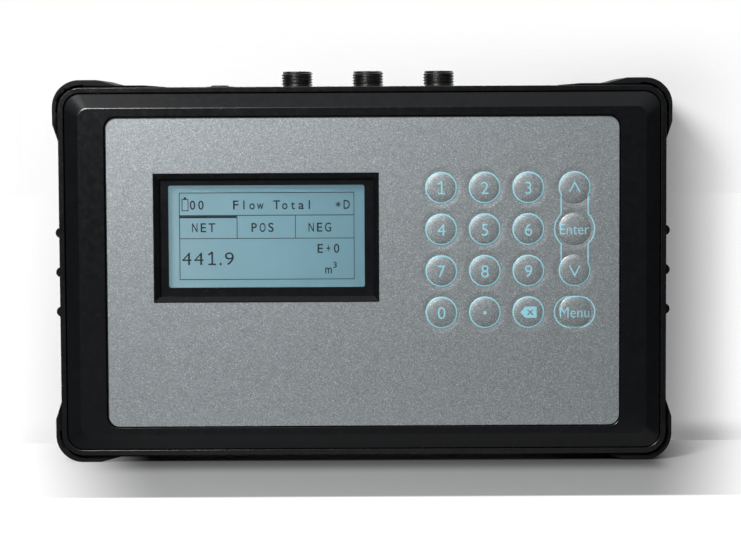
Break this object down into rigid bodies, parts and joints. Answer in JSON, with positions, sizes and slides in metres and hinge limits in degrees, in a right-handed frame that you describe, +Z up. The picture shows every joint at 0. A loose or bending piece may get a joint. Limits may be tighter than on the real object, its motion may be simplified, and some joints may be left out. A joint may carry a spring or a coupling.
{
  "type": "ultrasonic flow meter",
  "caption": "Portable ultrasonic flow meter: black case with chamfered bezel, slotted corner guards, silver embossed keypad, recessed screen and threaded sockets on top.",
  "frame": {"origin": "centre of the footprint, on the plane of the bottom guards' undersides", "axes": "+Z up, +X to the right as seen from the front, and the front faces -Y"},
  "size_m": [0.2354, 0.0572, 0.149],
  "materials": {
    "black_housing": "fine matte moulding",
    "silver_panel": "satin silver with a fine metallic grain",
    "spacer_film": "matte film",
    "flex_circuit": "printed flexible circuit",
    "dome_steel": "stamped domes",
    "clear_window": "clear",
    "screen_metal": "blackened steel",
    "screen_glass": "pale blue screen, matte",
    "light_panel": "white light guide",
    "circuit_board": "solder mask",
    "zinc_screw": "zinc plated",
    "seal_rubber": "matte",
    "guard_rubber": "satin moulded rubber",
    "chip_plastic": "moulded",
    "cell_wrap": "shrink wrap",
    "nickel_barrel": "nickel plated brass",
    "insert_plastic": "moulded",
    "gold_pin": "gold plated",
    "button_plastic": "satin"
  },
  "bodies": {
    "case": {"front_bezel": "black_housing", "keypad_panel": "silver_panel", "keypad_spacer": "spacer_film", "keypad_circuit": "flex_circuit", "snap_domes": "dome_steel", "display_window": "clear_window", "screen_frame": "screen_metal", "screen_glass": "screen_glass", "screen_light": "light_panel", "screen_board": "circuit_board", "screen_screws": "zinc_screw", "case_gasket": "seal_rubber", "rear_shell": "black_housing", "case_screws": "zinc_screw", "guard_top_left": "guard_rubber", "guard_top_right": "guard_rubber", "guard_bottom_left": "guard_rubber", "guard_bottom_right": "guard_rubber", "main_board": "circuit_board", "board_components": "chip_plastic", "board_screws": "zinc_screw", "battery_pack": "cell_wrap", "battery_cover": "black_housing", "cover_screws": "zinc_screw", "upstream_socket": "nickel_barrel", "downstream_socket": "nickel_barrel", "data_socket": "nickel_barrel", "socket_inserts": "insert_plastic", "socket_pins": "gold_pin", "socket_washers": "seal_rubber", "socket_nuts": "nickel_barrel", "power_collar": "insert_plastic", "power_nut": "zinc_screw", "power_switch": "chip_plastic"},
    "key_1": {"key_1": "silver_panel"},
    "key_2": {"key_2": "silver_panel"},
    "key_3": {"key_3": "silver_panel"},
    "key_up": {"key_up": "silver_panel"},
    "key_4": {"key_4": "silver_panel"},
    "key_5": {"key_5": "silver_panel"},
    "key_6": {"key_6": "silver_panel"},
    "key_enter": {"key_enter": "silver_panel"},
    "key_7": {"key_7": "silver_panel"},
    "key_8": {"key_8": "silver_panel"},
    "key_9": {"key_9": "silver_panel"},
    "key_down": {"key_down": "silver_panel"},
    "key_0": {"key_0": "silver_panel"},
    "key_point": {"key_point": "silver_panel"},
    "key_backspace": {"key_backspace": "silver_panel"},
    "key_menu": {"key_menu": "silver_panel"},
    "power_button": {"power_button": "button_plastic"}
  },
  "joints": [
    {"name": "key_1_press", "type": "slide", "parent": "case", "child": "key_1", "axis": [0, 1, 0], "range_m": [0, 0.0004], "stiffness_N_per_m": 1500},
    {"name": "key_2_press", "type": "slide", "parent": "case", "child": "key_2", "axis": [0, 1, 0], "range_m": [0, 0.0004], "stiffness_N_per_m": 1500},
    {"name": "key_3_press", "type": "slide", "parent": "case", "child": "key_3", "axis": [0, 1, 0], "range_m": [0, 0.0004], "stiffness_N_per_m": 1500},
    {"name": "key_up_press", "type": "slide", "parent": "case", "child": "key_up", "axis": [0, 1, 0], "range_m": [0, 0.0004], "stiffness_N_per_m": 1500},
    {"name": "key_4_press", "type": "slide", "parent": "case", "child": "key_4", "axis": [0, 1, 0], "range_m": [0, 0.0004], "stiffness_N_per_m": 1500},
    {"name": "key_5_press", "type": "slide", "parent": "case", "child": "key_5", "axis": [0, 1, 0], "range_m": [0, 0.0004], "stiffness_N_per_m": 1500},
    {"name": "key_6_press", "type": "slide", "parent": "case", "child": "key_6", "axis": [0, 1, 0], "range_m": [0, 0.0004], "stiffness_N_per_m": 1500},
    {"name": "key_enter_press", "type": "slide", "parent": "case", "child": "key_enter", "axis": [0, 1, 0], "range_m": [0, 0.0004], "stiffness_N_per_m": 1500},
    {"name": "key_7_press", "type": "slide", "parent": "case", "child": "key_7", "axis": [0, 1, 0], "range_m": [0, 0.0004], "stiffness_N_per_m": 1500},
    {"name": "key_8_press", "type": "slide", "parent": "case", "child": "key_8", "axis": [0, 1, 0], "range_m": [0, 0.0004], "stiffness_N_per_m": 1500},
    {"name": "key_9_press", "type": "slide", "parent": "case", "child": "key_9", "axis": [0, 1, 0], "range_m": [0, 0.0004], "stiffness_N_per_m": 1500},
    {"name": "key_down_press", "type": "slide", "parent": "case", "child": "key_down", "axis": [0, 1, 0], "range_m": [0, 0.0004], "stiffness_N_per_m": 1500},
    {"name": "key_0_press", "type": "slide", "parent": "case", "child": "key_0", "axis": [0, 1, 0], "range_m": [0, 0.0004], "stiffness_N_per_m": 1500},
    {"name": "key_point_press", "type": "slide", "parent": "case", "child": "key_point", "axis": [0, 1, 0], "range_m": [0, 0.0004], "stiffness_N_per_m": 1500},
    {"name": "key_backspace_press", "type": "slide", "parent": "case", "child": "key_backspace", "axis": [0, 1, 0], "range_m": [0, 0.0004], "stiffness_N_per_m": 1500},
    {"name": "key_menu_press", "type": "slide", "parent": "case", "child": "key_menu", "axis": [0, 1, 0], "range_m": [0, 0.0004], "stiffness_N_per_m": 1500},
    {"name": "power_button_press", "type": "slide", "parent": "case", "child": "power_button", "axis": [0, 0, -1], "range_m": [0, 0.0008], "stiffness_N_per_m": 1500}
  ]
}
